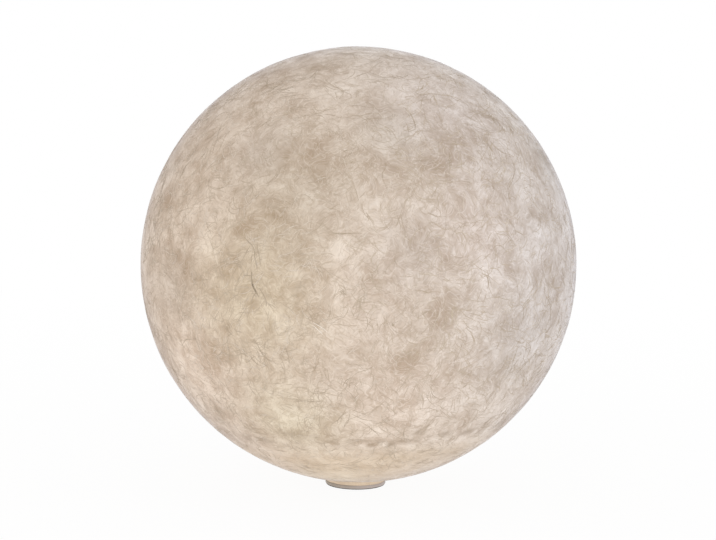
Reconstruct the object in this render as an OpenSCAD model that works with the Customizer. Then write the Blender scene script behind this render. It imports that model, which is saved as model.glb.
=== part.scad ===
// Moon lamp. A hollow fibre globe rests on a small weighted base, which carries
// an E27 lampholder and an LED bulb up through the neck of the globe.
// Millimetres, +Z up. The origin is the centre of the foot, on the surface
// that the lamp stands on, and the cord outlet faces +Y.

/* [Globe] */
// Outer diameter of the globe
globe_d = 500; // [400:10:700]
// Thickness of the moulded fibre shell
shell_t = 2; // [1.5:0.25:3]
// Angle of the seam from the bottom of the globe, seen from its centre
seam_angle = 47; // [35:1:60]
// Tilt of the seam about the Y axis, as the two shells were joined
seam_tilt = 3.5; // [0:0.5:5]
// Width of the joint strip behind the seam
strip_w = 16; // [10:1:24]
// Thickness of the joint strip
strip_t = 1.2; // [0.8:0.2:2]
// Diameter of the patch that closes the crown
crown_d = 75; // [50:5:100]
// Width of the patch's lap, bonded inside the shell
crown_lap = 7; // [4:1:12]
// Thickness of the patch's lap
crown_lap_t = 1.2; // [0.8:0.2:2]

/* [Neck] */
// Bore of the neck, which lets a 60 mm bulb through
neck_bore = 65; // [61:0.2:66]
// Wall of the neck
neck_wall = 2.2; // [1.6:0.1:3]
// Height of neck that shows between the base ring and the globe
neck_show = 4.5; // [3.5:0.5:8]
// Height of the whole neck
neck_h = 17; // [15:1:24]
// Width of the neck's flange, bonded inside the globe
neck_flange_w = 12; // [6:1:20]
// Thickness of the neck's flange
neck_flange_t = 2; // [1.5:0.25:3]

/* [Base] */
// Thickness of the foot pad
pad_t = 0.8; // [0.6:0.1:1.6]
// Height of the base ring
ring_h = 4; // [3.5:0.25:8]
// How far the base ring stands proud of the neck
ring_proud = 0.3; // [0:0.1:1.5]
// Radius of the ring's rounded lower edge
ring_round = 1; // [0.4:0.1:1.5]
// Height of the base housing above the ring
housing_h = 55; // [40:1:70]
// Wall of the base housing
housing_wall = 1.5; // [1.2:0.1:2]
// Thickness of the housing's top
housing_top_t = 2; // [1.5:0.5:4]
// Height of the room for the cord and the lower nut under the cast weight
cord_room = 12; // [10:0.5:16]
// Thickness of the bottom cover
cover_t = 1.5; // [1.4:0.1:1.8]
// Radius of the circle of the cover screws
cover_screw_circle = 21; // [18:0.5:23]
// Diameter of the cover screws
cover_screw_d = 3; // [2.5:0.5:4]
// Bore of the cord grommet
cord_bore = 5; // [4:0.2:5.2]
// Wall of the cord grommet
grommet_wall = 0.8; // [0.6:0.1:1]

/* [Stem] */
// Outer diameter of the threaded stem
stem_d = 10; // [8:1:12]
// Bore of the stem
stem_bore = 7; // [5:0.5:7]
// Thickness of a stem nut
nut_t = 3.5; // [2.5:0.5:5]
// Size of a stem nut across its flats
nut_flats = 14; // [13:0.5:16]
// Outer diameter of the stem washers
washer_d = 20; // [18:1:24]
// Thickness of the stem washers
washer_t = 1; // [0.8:0.2:1.6]

/* [Lampholder] */
// Outer diameter of the lampholder
holder_d = 42; // [40:1:48]
// Wall of the lampholder
holder_wall = 1.8; // [1.5:0.1:2]
// Height of the lampholder's cap, its neck included
holder_cap_h = 24; // [22:1:30]
// Height of the threaded neck of the lampholder's cap
holder_neck_h = 10; // [8:1:12]
// Height of the contact block
block_h = 14; // [12:1:18]
// Height of the screw shell
shell_h = 22.7; // [20:0.1:26]
// Rise of the sprung centre contact
contact_rise = 4; // [3:0.5:5]
// Thickness of the contact strips
contact_t = 0.5; // [0.4:0.1:0.8]

/* [Bulb] */
// Largest diameter of the bulb
bulb_d = 60; // [55:1:60]
// Length of the bulb from tip to crown
bulb_len = 109; // [104:1:115]
// Height of the dome's widest point above its rim
dome_drop = 16; // [12:1:18]
// Length of the bulb's screw cap, tip included
cap_len = 27; // [26:0.5:29]
// Pitch of the screw thread
thread_pitch = 3.629; // [3.5:0.001:3.8]
// Largest diameter of the bulb's thread
thread_d = 26.1; // [26:0.1:26.4]
// Half depth of the thread
thread_depth = 0.45; // [0.4:0.05:0.5]
// Clearance between the bulb's thread and the screw shell
thread_gap = 0.4; // [0.35:0.05:0.5]
// Wall of the bulb's dome
dome_wall = 1.4; // [1:0.1:1.6]
// Wall of the bulb's housing
bulb_housing_wall = 1.8; // [1.4:0.1:2]

/* [Hidden] */

// Clearances
bond_gap = 0.1;      // glue line between bonded parts
neck_slip = 0.3;     // neck over the base housing
fit_gap = 0.2;       // parts that drop into a bore
screw_gap = 0.05;    // screws in their holes
outlet_gap = 0.3;    // neck notch round the cord grommet
cut = 1;             // how far a cutting shape runs past a face

// Fineness of round shapes
fine = 180;
round_fn = 96;
small_fn = 48;

// Globe
globe_r = globe_d / 2;
shell_in_r = globe_r - shell_t;
neck_r = neck_bore / 2 + neck_wall;
ring_top = pad_t + ring_h;
globe_z = ring_top + neck_show + sqrt(globe_r * globe_r - neck_r * neck_r);
strip_half_angle = strip_w / shell_in_r * 90 / PI;
crown_r = crown_d / 2;

// Base
ring_r = neck_r + ring_proud;
housing_r = neck_bore / 2 - neck_slip;
housing_in_r = housing_r - housing_wall;
housing_top = ring_top + housing_h;
ballast_top = housing_top - housing_top_t;
cover_drop = 0.4;    // the cover lies this much below the ring's underside
cover_z = pad_t - cover_drop;
cover_top = cover_z + cover_t;
ballast_bottom = cover_top + cord_room;
ballast_h = ballast_top - ballast_bottom;
ballast_r = housing_in_r - fit_gap;
cover_r = housing_in_r - fit_gap;
cover_screw_r = cover_screw_d / 2;
cover_screw_len = 7;
cover_screw_head_r = cover_screw_r * 1.85;
boss_wall = 2.3;
boss_r = cover_screw_r + boss_wall;
grommet_r = cord_bore / 2 + grommet_wall;
grommet_lift = 0.1;
cord_z = cover_top + grommet_lift + grommet_r;
notch_r = grommet_r + outlet_gap;

// Stem
stem_r = stem_d / 2;
stem_hole_r = stem_r + screw_gap;
lower_washer_z = ballast_bottom - washer_t;
lower_nut_z = lower_washer_z - nut_t;
stem_end = 1.2;      // how far the stem runs past the lower nut
stem_z = lower_nut_z - stem_end;
upper_nut_z = housing_top + washer_t;
holder_z = upper_nut_z + nut_t;
stem_short = 0.5;    // how far the stem stops short of the neck's inner end
stem_top = holder_z + holder_neck_h - stem_short;

// Lampholder
holder_r = holder_d / 2;
holder_bore_r = holder_r - holder_wall;
holder_neck_wall = 3;
holder_neck_r = stem_hole_r + holder_neck_wall;
holder_cap_top = holder_z + holder_cap_h;
spigot_h = 6;        // part of the holder body inside the cap's skirt
spigot_r = holder_bore_r - bond_gap;
block_z = holder_cap_top - spigot_h;
block_top = block_z + block_h;
block_r = spigot_r - holder_wall - fit_gap;
shell_bore_gap = 0.3;
shell_wall = 0.5;
thread_mean_r = thread_d / 2 - thread_depth;
shell_mean_r = thread_mean_r + thread_gap;
shell_out_r = shell_mean_r + thread_depth + shell_wall;
shell_bore_r = shell_out_r + shell_bore_gap;
shell_top = block_top + shell_h;
holder_rim_drop = 0.8;
holder_rim_z = shell_top + holder_rim_drop;
holder_rim_narrow = 1.5;
ledge_drop = 1.6;    // thickness of the cap's ledge under the block
pocket_w = 8;
pocket_h = 9;
pocket_x = 8.6;
terminal_r = 1.5;
terminal_head_r = 2.8;
terminal_head_h = 1.8;
terminal_len = 2.6;
terminal_end = 0.4;  // hole past the end of a terminal screw
strip_side = 0.2;    // from a pocket's side to its contact strip
strip_foot_x = pocket_x - pocket_w / 2 + strip_side;
strip_half_w = 2.5;  // half width of a contact strip
slot_gap = 0.1;      // contact strips in the block's slots

// Bulb
tip_gap = 0.1;       // the tip stands just above the centre contact
tip_z = block_top + contact_rise + tip_gap;
tip_r = 4.8;
tip_h = 1.4;
insulator_h = 4;
insulator_lap = 1;
cap_z = tip_z + tip_h + insulator_h - insulator_lap;
cap_top = tip_z + cap_len;
cap_wall = 0.45;     // under the thread
cap_in_r = thread_mean_r - thread_depth - cap_wall;
cap_plain_low = 0.6;
cap_plain_high = 5;
bulb_r = bulb_d / 2;
bulb_top = tip_z + bulb_len;
bulb_centre = bulb_top - bulb_r;
dome_z = bulb_centre - dome_drop;
dome_rim_r = sqrt(bulb_r * bulb_r - dome_drop * dome_drop);
sleeve_r = cap_in_r - bond_gap;
sleeve_h = 6;
sleeve_wall = 1.1;
sleeve_in_r = sleeve_r - sleeve_wall;
board_gap = 0.3;
board_t = 1.6;
led_board_r = dome_rim_r - dome_wall - board_gap;
driver_drop = 14;    // from the dome's rim down to the driver board
driver_lift = 6;     // from the cap's lower end up to the driver board
driver_top = dome_z - driver_drop;
driver_bottom = cap_z + driver_lift;
driver_half_w = sqrt(pow(sleeve_in_r - board_gap, 2) - board_t * board_t / 4);

// Colours
fibre = "#CFC0B0";
fibre_edge = "#C9BCAD";
ring_grey = "#9C948A";
pad_dark = "#4A4642";
steel = "#B9BBBD";
iron = "#4B4C4F";
brass = "#C8A862";
holder_white = "#E8E6E1";
porcelain = "#F1EEE6";
nickel = "#C6C4BE";
board_white = "#F0F0EE";
board_green = "#2F6B45";
insulator_black = "#2B2A2C";
opal = "#F4F1EA";

// ---- Shapes that repeat ----

// A hollow ball round the globe's centre
module hollow_ball(outer_r, inner_r) {
    translate([0, 0, globe_z])
        difference() {
            sphere(r = outer_r, $fn = fine);
            sphere(r = inner_r, $fn = fine);
        }
}

// Everything below the cone angle given, measured from the bottom of the globe,
// square to the tilted seam
module below_seam(angle, r) {
    depth = r * cos(angle);
    translate([0, 0, globe_z])
        rotate([0, -seam_tilt, 0])
            translate([-globe_d, -globe_d, -depth - globe_d])
                cube([2 * globe_d, 2 * globe_d, globe_d]);
}

module tube(outer_r, inner_r, height, fn = round_fn) {
    difference() {
        cylinder(r = outer_r, h = height, $fn = fn);
        translate([0, 0, -cut])
            cylinder(r = inner_r, h = height + 2 * cut, $fn = fn);
    }
}

module hex_nut(z) {
    translate([0, 0, z])
        difference() {
            cylinder(r = nut_flats / sqrt(3), h = nut_t, $fn = 6);
            translate([0, 0, -cut])
                cylinder(r = stem_hole_r, h = nut_t + 2 * cut, $fn = small_fn);
        }
}

module around(count, first = 0) {
    for (i = [0 : count - 1])
        rotate([0, 0, first + 360 * i / count])
            children();
}

cover_screw_count = 3;
cover_screw_first = 30;
module at_cover_screws() {
    around(cover_screw_count, cover_screw_first)
        translate([cover_screw_circle, 0, 0])
            children();
}

// The cord's way out of the base, along +Y
module cord_way(r, from_y, to_y) {
    translate([0, from_y, cord_z])
        rotate([-90, 0, 0])
            cylinder(r = r, h = to_y - from_y, $fn = small_fn);
}

// A right-handed screw surface. Its wave dies out at both ends, to the side
// that low_side and high_side give: 1 for the largest radius, -1 for the least.
thread_sides = 24;
rows_per_pitch = 6;
thread_fade = thread_pitch / 2;

function clamped(x) = min(1, max(0, x));

function thread_r(z, turn, mean_r, low_z, high_z, low_side, high_side) =
    let (
        low = clamped((z - low_z) / thread_fade),
        high = clamped((high_z - z) / thread_fade),
        live = min(low, high),
        wave = cos(360 * z / thread_pitch - turn)
    )
    mean_r + thread_depth * (live * wave + low_side * (1 - low) + high_side * (1 - high));

// A ring between a plain wall and a screw surface, from z0 to z1. The screw
// surface faces outwards when outward is true, and inwards when it is false.
module threaded_ring(mean_r, plain_r, z0, z1, plain_low, plain_high, low_side, high_side, outward) {
    rows = ceil((z1 - z0) / thread_pitch * rows_per_pitch);
    n = thread_sides;
    step = (z1 - z0) / rows;
    function turn(j) = 360 * j / n;
    screw = [
        for (i = [0 : rows], j = [0 : n - 1])
            let (
                z = z0 + i * step,
                r = thread_r(z, turn(j), mean_r, z0 + plain_low, z1 - plain_high, low_side, high_side)
            )
            [r * cos(turn(j)), r * sin(turn(j)), z]
    ];
    plain = [
        for (z = [z0, z1], j = [0 : n - 1])
            [plain_r * cos(turn(j)), plain_r * sin(turn(j)), z]
    ];
    base = len(screw);
    function next(j) = (j + 1) % n;
    function facing(tri, way) = way ? tri : [tri[0], tri[2], tri[1]];
    // The corners of each triangle run clockwise, seen from outside
    screw_faces = [
        for (i = [0 : rows - 1], j = [0 : n - 1], half = [0, 1])
            let (
                a = i * n + j,
                b = i * n + next(j),
                c = (i + 1) * n + next(j),
                d = (i + 1) * n + j
            )
            facing(half == 0 ? [a, c, b] : [a, d, c], outward)
    ];
    plain_faces = [
        for (j = [0 : n - 1], half = [0, 1])
            let (
                a = base + j,
                b = base + next(j),
                c = base + n + next(j),
                d = base + n + j
            )
            facing(half == 0 ? [a, b, c] : [a, c, d], outward)
    ];
    end_faces = [
        for (top = [0, 1], j = [0 : n - 1], half = [0, 1])
            let (
                s = top * rows * n,
                a = s + j,
                b = s + next(j),
                c = base + top * n + next(j),
                d = base + top * n + j
            )
            facing(half == 0 ? [a, b, c] : [a, c, d], outward == (top == 0))
    ];
    polyhedron(concat(screw, plain), concat(screw_faces, plain_faces, end_faces), convexity = 8);
}

// ---- Globe ----

module upper_shell() {
    color(fibre)
        difference() {
            hollow_ball(globe_r, shell_in_r);
            below_seam(seam_angle, globe_r);
            translate([0, 0, globe_z])
                cylinder(r = crown_r + bond_gap, h = globe_d, $fn = round_fn);
        }
}

module lower_shell() {
    color(fibre)
        difference() {
            intersection() {
                hollow_ball(globe_r, shell_in_r);
                below_seam(seam_angle, globe_r);
            }
            cylinder(r = neck_r + bond_gap, h = globe_z, $fn = round_fn);
        }
}

module seam_strip() {
    outer_r = shell_in_r - bond_gap;
    color(fibre_edge)
        difference() {
            intersection() {
                hollow_ball(outer_r, outer_r - strip_t);
                below_seam(seam_angle + strip_half_angle, globe_r);
            }
            below_seam(seam_angle - strip_half_angle, globe_r);
        }
}

module crown_patch() {
    lap_r = shell_in_r - bond_gap;
    color(fibre)
        union() {
            intersection() {
                hollow_ball(globe_r, lap_r - crown_lap_t);
                translate([0, 0, globe_z])
                    cylinder(r = crown_r, h = globe_d, $fn = round_fn);
            }
            intersection() {
                hollow_ball(lap_r, lap_r - crown_lap_t);
                translate([0, 0, globe_z])
                    cylinder(r = crown_r + crown_lap, h = globe_d, $fn = round_fn);
            }
        }
}

module neck_collar() {
    flange_r = shell_in_r - bond_gap;
    color(fibre_edge)
        difference() {
            union() {
                translate([0, 0, ring_top])
                    cylinder(r = neck_r, h = neck_h, $fn = round_fn);
                intersection() {
                    hollow_ball(flange_r, flange_r - neck_flange_t);
                    cylinder(r = neck_r + neck_flange_w, h = globe_z, $fn = round_fn);
                }
            }
            cylinder(r = neck_bore / 2, h = globe_z, $fn = round_fn);
            cord_way(notch_r, 0, ring_r + cut);
            translate([-notch_r, 0, 0])
                cube([2 * notch_r, ring_r + cut, cord_z]);
        }
}

// ---- Base ----

module foot_pad() {
    color(pad_dark)
        tube(ring_r - ring_round, housing_in_r + fit_gap, pad_t);
}

module base_housing() {
    ring_in = ring_r - ring_round;
    color(ring_grey)
        difference() {
            rotate_extrude($fn = round_fn)
                union() {
                    translate([0, pad_t])
                        square([ring_in, ring_h]);
                    translate([0, pad_t + ring_round])
                        square([ring_r, ring_h - ring_round]);
                    intersection() {
                        translate([ring_in, pad_t + ring_round])
                            circle(r = ring_round, $fn = small_fn);
                        translate([0, pad_t])
                            square([ring_r, ring_round]);
                    }
                    square([housing_r, housing_top]);
                }
            translate([0, 0, -cut])
                cylinder(r = housing_in_r, h = ballast_top + cut, $fn = round_fn);
            difference() {
                cylinder(r = ring_r + cut, h = pad_t, $fn = round_fn);
                cylinder(r = housing_in_r, h = pad_t, $fn = round_fn);
            }
            cylinder(r = stem_hole_r, h = housing_top + cut, $fn = small_fn);
            cord_way(grommet_r, 0, ring_r + cut);
        }
}

module bottom_cover() {
    color(steel)
        difference() {
            translate([0, 0, cover_z])
                cylinder(r = cover_r, h = cover_t, $fn = round_fn);
            at_cover_screws() {
                cylinder(r = cover_screw_r + screw_gap, h = cover_top + cut, $fn = small_fn);
                translate([0, 0, cover_z])
                    cylinder(r1 = cover_screw_head_r + screw_gap, r2 = cover_screw_r + screw_gap,
                             h = cover_t, $fn = small_fn);
            }
        }
}

module cover_screws() {
    head_r = cover_screw_head_r;
    slot_w = 0.8;
    slot_depth = 0.6;
    color(steel)
        at_cover_screws()
            difference() {
                union() {
                    translate([0, 0, cover_z])
                        cylinder(r1 = head_r, r2 = cover_screw_r, h = cover_t, $fn = small_fn);
                    translate([0, 0, cover_z])
                        cylinder(r = cover_screw_r, h = cover_t + cover_screw_len, $fn = small_fn);
                }
                translate([-head_r, -slot_w / 2, cover_z - cut])
                    cube([2 * head_r, slot_w, slot_depth + cut]);
                translate([-slot_w / 2, -head_r, cover_z - cut])
                    cube([slot_w, 2 * head_r, slot_depth + cut]);
            }
}

module ballast_weight() {
    hole_end = 1.5;
    color(iron)
        difference() {
            union() {
                translate([0, 0, ballast_bottom])
                    cylinder(r = ballast_r, h = ballast_h, $fn = round_fn);
                at_cover_screws()
                    translate([0, 0, cover_top])
                        cylinder(r = boss_r, h = ballast_bottom - cover_top + cut, $fn = small_fn);
            }
            cylinder(r = stem_hole_r + fit_gap, h = housing_top, $fn = small_fn);
            at_cover_screws()
                cylinder(r = cover_screw_r + screw_gap,
                         h = cover_top + cover_screw_len + hole_end, $fn = small_fn);
        }
}

module cord_grommet() {
    lip = 0.8;
    lip_t = 1;
    inside_y = housing_in_r - lip_t;
    color(pad_dark)
        difference() {
            union() {
                cord_way(grommet_r, inside_y, neck_r);
                intersection() {
                    cord_way(grommet_r + lip, 0, ring_r);
                    translate([0, 0, cover_top])
                        difference() {
                            cylinder(r = housing_in_r, h = 2 * (grommet_r + lip), $fn = round_fn);
                            translate([-neck_r, -neck_r - lip_t, -cut])
                                cube([2 * neck_r, neck_r + inside_y, 2 * neck_r]);
                        }
                }
            }
            cord_way(cord_bore / 2, 0, ring_r + cut);
        }
}

// ---- Stem ----

module stem_tube() {
    color(steel)
        translate([0, 0, stem_z])
            tube(stem_r, stem_bore / 2, stem_top - stem_z, small_fn);
}

module lower_washer() {
    color(steel)
        translate([0, 0, lower_washer_z])
            tube(washer_d / 2, stem_hole_r, washer_t, small_fn);
}

module lower_nut() {
    color(steel)
        hex_nut(lower_nut_z);
}

module upper_washer() {
    color(steel)
        translate([0, 0, housing_top])
            tube(washer_d / 2, stem_hole_r, washer_t, small_fn);
}

module upper_nut() {
    color(steel)
        hex_nut(upper_nut_z);
}

// ---- Lampholder ----

grub_z = holder_z + holder_neck_h / 2;
grub_r = 1.5;
grub_proud = 0.4;

module holder_cap() {
    roof = 2;            // of the cap's slope, over the neck's end
    slope_top = block_z - ledge_drop - roof / 2;
    slope_low = holder_z + holder_neck_h - roof;
    ledge_r = block_r - holder_wall;
    color(holder_white)
        difference() {
            rotate_extrude($fn = round_fn)
                difference() {
                    polygon([
                        [0, holder_z],
                        [holder_neck_r, holder_z],
                        [holder_neck_r, slope_low],
                        [holder_r, slope_top],
                        [holder_r, holder_cap_top],
                        [0, holder_cap_top]
                    ]);
                    translate([0, block_z])
                        square([holder_bore_r, spigot_h + cut]);
                    polygon([
                        [0, holder_z + holder_neck_h],
                        [holder_neck_r - roof / 2, holder_z + holder_neck_h],
                        [ledge_r, slope_top],
                        [ledge_r, block_z + cut],
                        [0, block_z + cut]
                    ]);
                }
            translate([0, 0, holder_z - cut])
                cylinder(r = stem_hole_r, h = holder_neck_h + 2 * cut, $fn = small_fn);
            translate([0, 0, grub_z])
                rotate([0, 90, 0])
                    cylinder(r = grub_r + screw_gap, h = holder_r, $fn = small_fn);
        }
}

module holder_grub_screw() {
    len = holder_neck_r - stem_r + grub_proud;
    slot_w = 0.6;
    color(steel)
        difference() {
            translate([stem_r, 0, grub_z])
                rotate([0, 90, 0])
                    cylinder(r = grub_r, h = len, $fn = small_fn);
            translate([stem_r + len - slot_w, -grub_r - cut, grub_z - slot_w / 2])
                cube([slot_w + cut, 2 * (grub_r + cut), slot_w]);
        }
}

module holder_body() {
    color(holder_white)
        rotate_extrude($fn = round_fn)
            difference() {
                polygon([
                    [shell_bore_r, block_z],
                    [spigot_r, block_z],
                    [spigot_r, holder_cap_top],
                    [holder_r, holder_cap_top],
                    [holder_r - holder_rim_narrow, holder_rim_z],
                    [shell_bore_r, holder_rim_z]
                ]);
                square([block_r + fit_gap, block_top]);
            }
}

// Turns the second terminal's side to -X
module at_terminals() {
    for (side = [0, 180])
        rotate([0, 0, side])
            translate([pocket_x, 0, 0])
                children();
}

module contact_block() {
    color(porcelain)
        difference() {
            translate([0, 0, block_z])
                cylinder(r = block_r, h = block_h, $fn = round_fn);
            at_terminals() {
                translate([-pocket_w / 2, -pocket_w / 2, block_z - cut])
                    cube([pocket_w, pocket_w, pocket_h + cut]);
                cylinder(r = terminal_r + screw_gap,
                         h = block_z + pocket_h + terminal_len + terminal_end, $fn = small_fn);
            }
            for (side = [0, 180])
                rotate([0, 0, side])
                    translate([strip_foot_x - slot_gap, -strip_half_w - slot_gap, block_z + cut])
                        cube([contact_t + 2 * slot_gap, 2 * (strip_half_w + slot_gap), block_h]);
        }
}

module terminal_screws() {
    under_foot = block_z + pocket_h - contact_t;
    slot_w = 0.7;
    slot_depth = 0.9;
    color(brass)
        at_terminals()
            difference() {
                union() {
                    translate([0, 0, under_foot - terminal_head_h])
                        cylinder(r = terminal_head_r, h = terminal_head_h, $fn = small_fn);
                    translate([0, 0, under_foot - terminal_head_h])
                        cylinder(r = terminal_r, h = terminal_head_h + contact_t + terminal_len, $fn = small_fn);
                }
                translate([-terminal_head_r, -slot_w / 2, under_foot - terminal_head_h - cut])
                    cube([2 * terminal_head_r, slot_w, slot_depth + cut]);
            }
}

// The part of a contact strip that is the same on both: its leg through the
// block and its foot under the roof of the terminal pocket
module terminal_strip() {
    foot_end = terminal_head_r + strip_side;
    roof = block_z + pocket_h;
    difference() {
        union() {
            translate([strip_foot_x, -strip_half_w, roof - contact_t])
                cube([contact_t, 2 * strip_half_w, block_top - roof + 2 * contact_t]);
            translate([strip_foot_x, -strip_half_w, roof - contact_t])
                cube([pocket_x + foot_end - strip_foot_x, 2 * strip_half_w, contact_t]);
        }
        translate([pocket_x, 0, roof - contact_t - cut])
            cylinder(r = terminal_r + screw_gap, h = contact_t + 2 * cut, $fn = small_fn);
    }
}

module centre_contact() {
    pad_half = 2.6;
    top = block_top + contact_rise;
    color(brass)
        union() {
            terminal_strip();
            rotate([90, 0, 0])
                translate([0, 0, -strip_half_w])
                    linear_extrude(height = 2 * strip_half_w)
                        polygon([
                            [strip_foot_x + contact_t, block_top],
                            [strip_foot_x + contact_t, block_top + contact_t],
                            [pad_half, top],
                            [-pad_half, top],
                            [-pad_half, top - contact_t],
                            [pad_half - contact_t, top - contact_t],
                            [strip_foot_x - contact_t, block_top + contact_t],
                            [strip_foot_x - contact_t, block_top]
                        ]);
        }
}

module side_contact() {
    lean_gap = 0.45;
    reach = shell_mean_r - thread_depth - lean_gap;
    color(brass)
        rotate([0, 0, 180])
            union() {
                terminal_strip();
                translate([strip_foot_x, -strip_half_w, block_top])
                    cube([reach - strip_foot_x, 2 * strip_half_w, contact_t]);
                translate([reach - contact_t, -strip_half_w, block_top])
                    cube([contact_t, 2 * strip_half_w, contact_rise]);
            }
}

module screw_shell() {
    plain_low = 1.2;
    plain_high = 0.6;
    color(brass)
        threaded_ring(shell_mean_r, shell_out_r, block_top, shell_top,
                      plain_low, plain_high, 1, 1, false);
}

// ---- Bulb ----

module bulb_tip() {
    flat_r = tip_r * 0.7;
    color(nickel)
        rotate_extrude($fn = small_fn)
            polygon([
                [0, tip_z],
                [flat_r, tip_z],
                [tip_r, tip_z + tip_h / 2],
                [tip_r, tip_z + tip_h],
                [0, tip_z + tip_h]
            ]);
}

module cap_insulator() {
    low = tip_z + tip_h;
    low_r = tip_r + 0.8;
    top_r = thread_mean_r - thread_depth - fit_gap;
    color(insulator_black)
        rotate_extrude($fn = small_fn)
            polygon([
                [0, low],
                [low_r, low],
                [top_r, cap_z],
                [cap_in_r - bond_gap, cap_z],
                [cap_in_r - bond_gap, cap_z + insulator_lap],
                [0, cap_z + insulator_lap]
            ]);
}

module bulb_cap() {
    color(nickel)
        threaded_ring(thread_mean_r, cap_in_r, cap_z, cap_top,
                      cap_plain_low, cap_plain_high, -1, 1, true);
}

// Radius of the bulb's housing at a height between the cap and the dome. It
// swells along half a cosine wave, sooner than later.
housing_low_r = thread_d / 2 + 1.2;
housing_swell = 0.85;
function housing_out_r(z) =
    let (t = (z - cap_top) / (dome_z - cap_top))
    housing_low_r + (dome_rim_r - housing_low_r) * (1 - cos(180 * pow(t, housing_swell))) / 2;

module bulb_housing() {
    steps = 14;
    rise = (dome_z - cap_top) / steps;
    outer = [for (i = [0 : steps]) [housing_out_r(cap_top + i * rise), cap_top + i * rise]];
    seat_z = dome_z - board_t;
    inner = [
        for (i = [steps - 1 : -1 : 1])
            [max(sleeve_in_r, housing_out_r(cap_top + i * rise) - bulb_housing_wall), cap_top + i * rise]
    ];
    color(holder_white)
        difference() {
            rotate_extrude($fn = round_fn)
                polygon(concat(
                    [[sleeve_r, cap_top - sleeve_h], [sleeve_r, cap_top]],
                    outer,
                    [[dome_rim_r - bulb_housing_wall, dome_z]],
                    inner,
                    [[sleeve_in_r, cap_top], [sleeve_in_r, cap_top - sleeve_h]]
                ));
            translate([0, 0, seat_z])
                cylinder(r = led_board_r + board_gap / 2, h = board_t + cut, $fn = round_fn);
        }
}

// A board on edge, with a capacitor on one face and a coil and a chip on the other
module driver_board() {
    sunk = 0.2;          // each part, into the board's face
    capacitor_r = 4;
    capacitor_h = 14;
    coil = [12, 5, 10];
    chip = [8, 2, 6];
    edge = 4;            // from the board's end to the nearest part
    color(board_green)
        union() {
            translate([-driver_half_w, -board_t / 2, driver_bottom])
                cube([2 * driver_half_w, board_t, driver_top - driver_bottom]);
            translate([0, board_t / 2 + capacitor_r - 2 * sunk, driver_top - edge - capacitor_h])
                cylinder(r = capacitor_r, h = capacitor_h, $fn = small_fn);
            translate([-coil[0] / 2, sunk - board_t / 2 - coil[1], driver_top - edge - coil[2]])
                cube(coil);
            translate([-chip[0] / 2, sunk - board_t / 2 - chip[1], driver_bottom + edge])
                cube(chip);
        }
}

module led_board() {
    led_count = 10;
    led_circle = led_board_r * 0.62;
    led_w = 3;
    led_t = 0.7;
    sunk = 0.1;          // each LED, into the board
    color(board_white)
        union() {
            translate([0, 0, dome_z - board_t])
                cylinder(r = led_board_r, h = board_t, $fn = round_fn);
            around(led_count)
                translate([led_circle - led_w / 2, -led_w / 2, dome_z - sunk])
                    cube([led_w, led_w, led_t + sunk]);
        }
}

module bulb_dome() {
    color(opal)
        difference() {
            translate([0, 0, bulb_centre])
                difference() {
                    sphere(r = bulb_r, $fn = round_fn);
                    sphere(r = bulb_r - dome_wall, $fn = round_fn);
                }
            translate([-bulb_d, -bulb_d, dome_z - 2 * bulb_d])
                cube([2 * bulb_d, 2 * bulb_d, 2 * bulb_d]);
        }
}

upper_shell();
lower_shell();
seam_strip();
crown_patch();
neck_collar();
foot_pad();
base_housing();
bottom_cover();
cover_screws();
ballast_weight();
cord_grommet();
stem_tube();
lower_washer();
lower_nut();
upper_washer();
upper_nut();
holder_cap();
holder_grub_screw();
holder_body();
contact_block();
terminal_screws();
centre_contact();
side_contact();
screw_shell();
bulb_tip();
cap_insulator();
bulb_cap();
bulb_housing();
driver_board();
led_board();
bulb_dome();
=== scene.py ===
import math

import bpy
import numpy as np
from mathutils import Matrix, Vector


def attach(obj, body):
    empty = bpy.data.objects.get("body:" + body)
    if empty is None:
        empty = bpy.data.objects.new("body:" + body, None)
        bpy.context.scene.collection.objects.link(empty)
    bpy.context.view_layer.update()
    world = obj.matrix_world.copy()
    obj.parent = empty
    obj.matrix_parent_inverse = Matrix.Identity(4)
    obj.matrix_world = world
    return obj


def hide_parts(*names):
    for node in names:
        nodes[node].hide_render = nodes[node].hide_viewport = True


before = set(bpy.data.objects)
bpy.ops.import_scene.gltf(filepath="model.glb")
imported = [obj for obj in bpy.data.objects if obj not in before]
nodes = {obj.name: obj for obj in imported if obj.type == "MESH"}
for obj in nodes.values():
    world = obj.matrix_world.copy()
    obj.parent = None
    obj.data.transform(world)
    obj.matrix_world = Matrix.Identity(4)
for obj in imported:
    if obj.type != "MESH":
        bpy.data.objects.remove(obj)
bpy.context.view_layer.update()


# ---- The picture: camera, floor and light ----
# The lamp stands on a white sweep in front of a white wall, lit evenly from all
# round by soft boxes, so that its colours show as they are. The camera stands
# 2.5 m off, a little above the globe's middle, and leans by less than a degree.

globe_middle = Vector((0, 0, 0.256880))

camera_place = (0, -2.4783, 0.5856)
camera_aims_left = math.radians(0.0106)
camera_looks_down = math.radians(7.7)
camera_leans = math.radians(0.8)

camera = bpy.data.objects.new("camera", bpy.data.cameras.new("camera"))
camera.data.sensor_width = 36
camera.data.lens = 109.24
camera.data.clip_end = 50
camera.matrix_world = (
    Matrix.Translation(camera_place)
    @ Matrix.Rotation(camera_aims_left, 4, "Z")
    @ Matrix.Rotation(math.radians(90) - camera_looks_down, 4, "X")
    @ Matrix.Rotation(camera_leans, 4, "Z")
)
bpy.context.scene.collection.objects.link(camera)
bpy.context.scene.camera = camera
bpy.context.scene.view_settings.view_transform = "Standard"


def linear(code):
    """An sRGB hex colour as the linear colour that a socket takes."""
    parts = [int(code[i : i + 2], 16) / 255 for i in (1, 3, 5)]
    return [p / 12.92 if p <= 0.04045 else ((p + 0.055) / 1.055) ** 2.4 for p in parts] + [1]


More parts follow.
